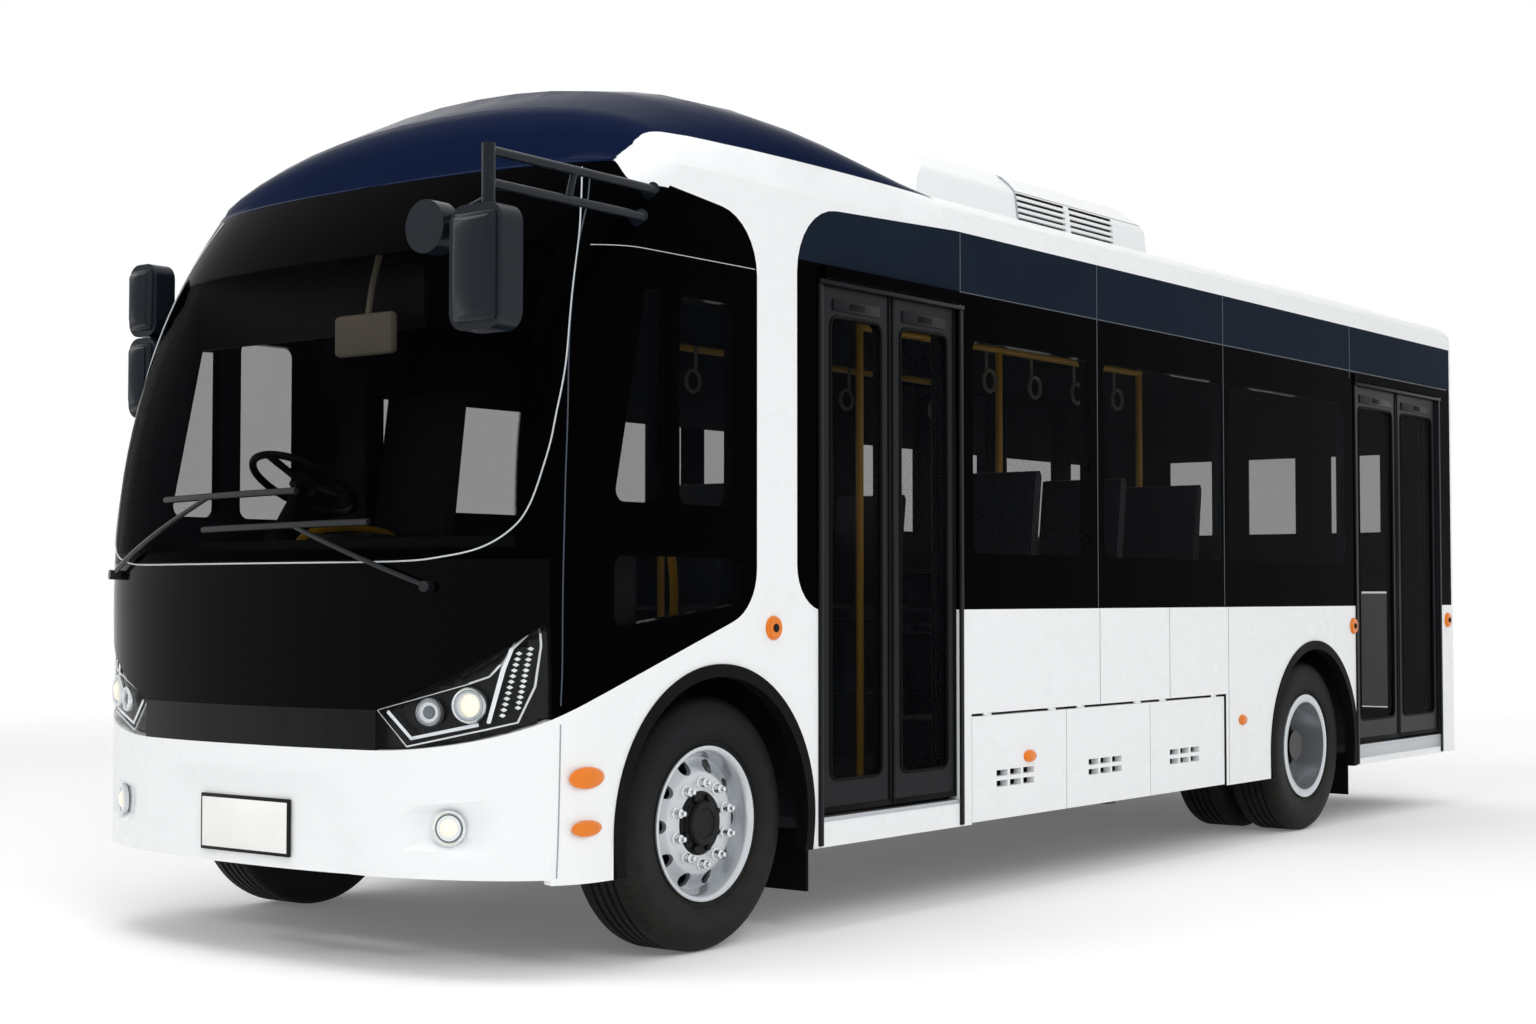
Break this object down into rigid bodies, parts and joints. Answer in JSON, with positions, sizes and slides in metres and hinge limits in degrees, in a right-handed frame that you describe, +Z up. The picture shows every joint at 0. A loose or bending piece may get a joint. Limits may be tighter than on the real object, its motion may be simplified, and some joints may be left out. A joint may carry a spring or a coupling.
{
  "type": "airport passenger bus",
  "caption": "Low-floor airport passenger bus with rounded panoramic nose, double doors on one side, steered front wheels and twin rear wheels; carries standing passengers to aircraft.",
  "frame": {"origin": "on the ground under the middle of the vehicle's bounding box", "axes": "front faces -Y, the doors are on +X, +Z up"},
  "size_m": [2.77, 8.56, 3.191],
  "materials": {
    "white_paint": "gloss white paint",
    "black_gloss": "gloss black panel",
    "navy_paint": "deep navy paint",
    "tinted_glass": "tinted glass",
    "clear_glass": "clear laminated glass",
    "matte_black": "grained black plastic",
    "tyre": "black tyre rubber",
    "wheel_silver": "silver painted wheel",
    "steel": "cast and forged steel",
    "frame_paint": "chassis black",
    "floor": "speckled floor covering",
    "box_grey": "grey painted box",
    "seat_shell": "moulded seat shell",
    "rail_yellow": "yellow powder coat",
    "lamp_clear": "clear lamp cover",
    "lamp_amber": "amber lens",
    "lamp_red": "red lens",
    "rubber": "black rubber",
    "door_grey": "dark grey door frame"
  },
  "bodies": {
    "body": {"chassis_rails": "frame_paint", "cross_members": "frame_paint", "rail_brackets": "frame_paint", "tow_eyes": "frame_paint", "floor_pan": "floor", "wheel_boxes": "box_grey", "side_left": "white_paint", "side_right": "white_paint", "window_frame_left": "black_gloss", "window_frame_right": "black_gloss", "roof_shell": "white_paint", "roof_dome": "navy_paint", "rear_panel": "white_paint", "front_bumper": "white_paint", "front_corners": "white_paint", "grille_panel": "matte_black", "front_mask": "black_gloss", "corner_pillars": "black_gloss", "windscreen": "clear_glass", "window_glass": "tinted_glass", "headlamps": "lamp_clear", "front_axle": "steel", "rear_axle": "steel", "traction_motor": "box_grey", "battery_packs": "box_grey", "roof_units": "white_paint", "marker_lamps": "lamp_amber", "tail_lamps": "lamp_red", "mirrors": "matte_black", "wipers": "matte_black", "dashboard": "matte_black", "steering_wheel": "matte_black", "seats": "seat_shell", "grab_rails": "rail_yellow", "arch_trims": "rubber", "mud_flaps": "rubber"},
    "wheel_front_left": {"tyre_front_left": "tyre", "rim_front_left": "wheel_silver"},
    "wheel_front_right": {"tyre_front_right": "tyre", "rim_front_right": "wheel_silver"},
    "wheel_rear_left": {"tyre_rear_left": "tyre", "rim_rear_left": "wheel_silver"},
    "wheel_rear_right": {"tyre_rear_right": "tyre", "rim_rear_right": "wheel_silver"},
    "knuckle_left": {"knuckle_left": "steel"},
    "knuckle_right": {"knuckle_right": "steel"},
    "tie_rod": {"tie_rod": "steel"},
    "door_front_a": {"door_front_a": "door_grey", "door_glass_front_a": "tinted_glass"},
    "door_front_b": {"door_front_b": "door_grey", "door_glass_front_b": "tinted_glass"},
    "door_rear_a": {"door_rear_a": "door_grey", "door_glass_rear_a": "tinted_glass"},
    "door_rear_b": {"door_rear_b": "door_grey", "door_glass_rear_b": "tinted_glass"},
    "flap_left_1": {"flap_left_1": "white_paint"},
    "flap_left_2": {"flap_left_2": "white_paint"},
    "flap_left_3": {"flap_left_3": "white_paint"},
    "rear_hatch": {"rear_hatch": "white_paint"}
  },
  "joints": [
    {"name": "steer_left", "type": "hinge", "parent": "body", "child": "knuckle_left", "pos_m": [0.8, -2.98, 0.4475], "axis": [0, 0, 1], "range_deg": [-40, 40]},
    {"name": "steer_right", "type": "hinge", "parent": "body", "child": "knuckle_right", "pos_m": [-0.8, -2.98, 0.4475], "axis": [0, 0, 1], "range_deg": [-41, 41]},
    {"name": "tie_rod_left", "type": "hinge", "parent": "knuckle_left", "child": "tie_rod", "pos_m": [0.8, -2.78, 0.255], "axis": [0, 0, 1], "range_deg": [-41, 41]},
    {"name": "spin_front_left", "type": "hinge", "parent": "knuckle_left", "child": "wheel_front_left", "pos_m": [1.001, -2.98, 0.4475], "axis": [1, 0, 0], "continuous": true},
    {"name": "spin_front_right", "type": "hinge", "parent": "knuckle_right", "child": "wheel_front_right", "pos_m": [-1.001, -2.98, 0.4475], "axis": [1, 0, 0], "continuous": true},
    {"name": "spin_rear_left", "type": "hinge", "parent": "body", "child": "wheel_rear_left", "pos_m": [1.001, 2.1, 0.4475], "axis": [1, 0, 0], "continuous": true},
    {"name": "spin_rear_right", "type": "hinge", "parent": "body", "child": "wheel_rear_right", "pos_m": [-1.001, 2.1, 0.4475], "axis": [1, 0, 0], "continuous": true},
    {"name": "swing_front_a", "type": "hinge", "parent": "body", "child": "door_front_a", "pos_m": [1.095, -2.334, 0.43], "axis": [0, 0, 1], "range_deg": [0, 90]},
    {"name": "swing_front_b", "type": "hinge", "parent": "body", "child": "door_front_b", "pos_m": [1.095, -1.454, 0.43], "axis": [0, 0, -1], "range_deg": [0, 90]},
    {"name": "swing_rear_a", "type": "hinge", "parent": "body", "child": "door_rear_a", "pos_m": [1.095, 2.712, 0.43], "axis": [0, 0, 1], "range_deg": [0, 90]},
    {"name": "swing_rear_b", "type": "hinge", "parent": "body", "child": "door_rear_b", "pos_m": [1.095, 3.884, 0.43], "axis": [0, 0, -1], "range_deg": [0, 90]},
    {"name": "lift_flap_1", "type": "hinge", "parent": "body", "child": "flap_left_1", "pos_m": [1.179, -0.93, 0.756], "axis": [0, -1, 0], "range_deg": [0, 95]},
    {"name": "lift_flap_2", "type": "hinge", "parent": "body", "child": "flap_left_2", "pos_m": [1.179, -0.15, 0.756], "axis": [0, -1, 0], "range_deg": [0, 95]},
    {"name": "lift_flap_3", "type": "hinge", "parent": "body", "child": "flap_left_3", "pos_m": [1.179, 0.63, 0.756], "axis": [0, -1, 0], "range_deg": [0, 95]},
    {"name": "lift_hatch", "type": "hinge", "parent": "body", "child": "rear_hatch", "pos_m": [0, 4.262, 1.266], "axis": [1, 0, 0], "range_deg": [0, 95]}
  ],
  "couplings": [
    {"joint": "steer_right", "follows": "steer_left", "ratio": 1},
    {"joint": "tie_rod_left", "follows": "steer_left", "ratio": -1}
  ]
}
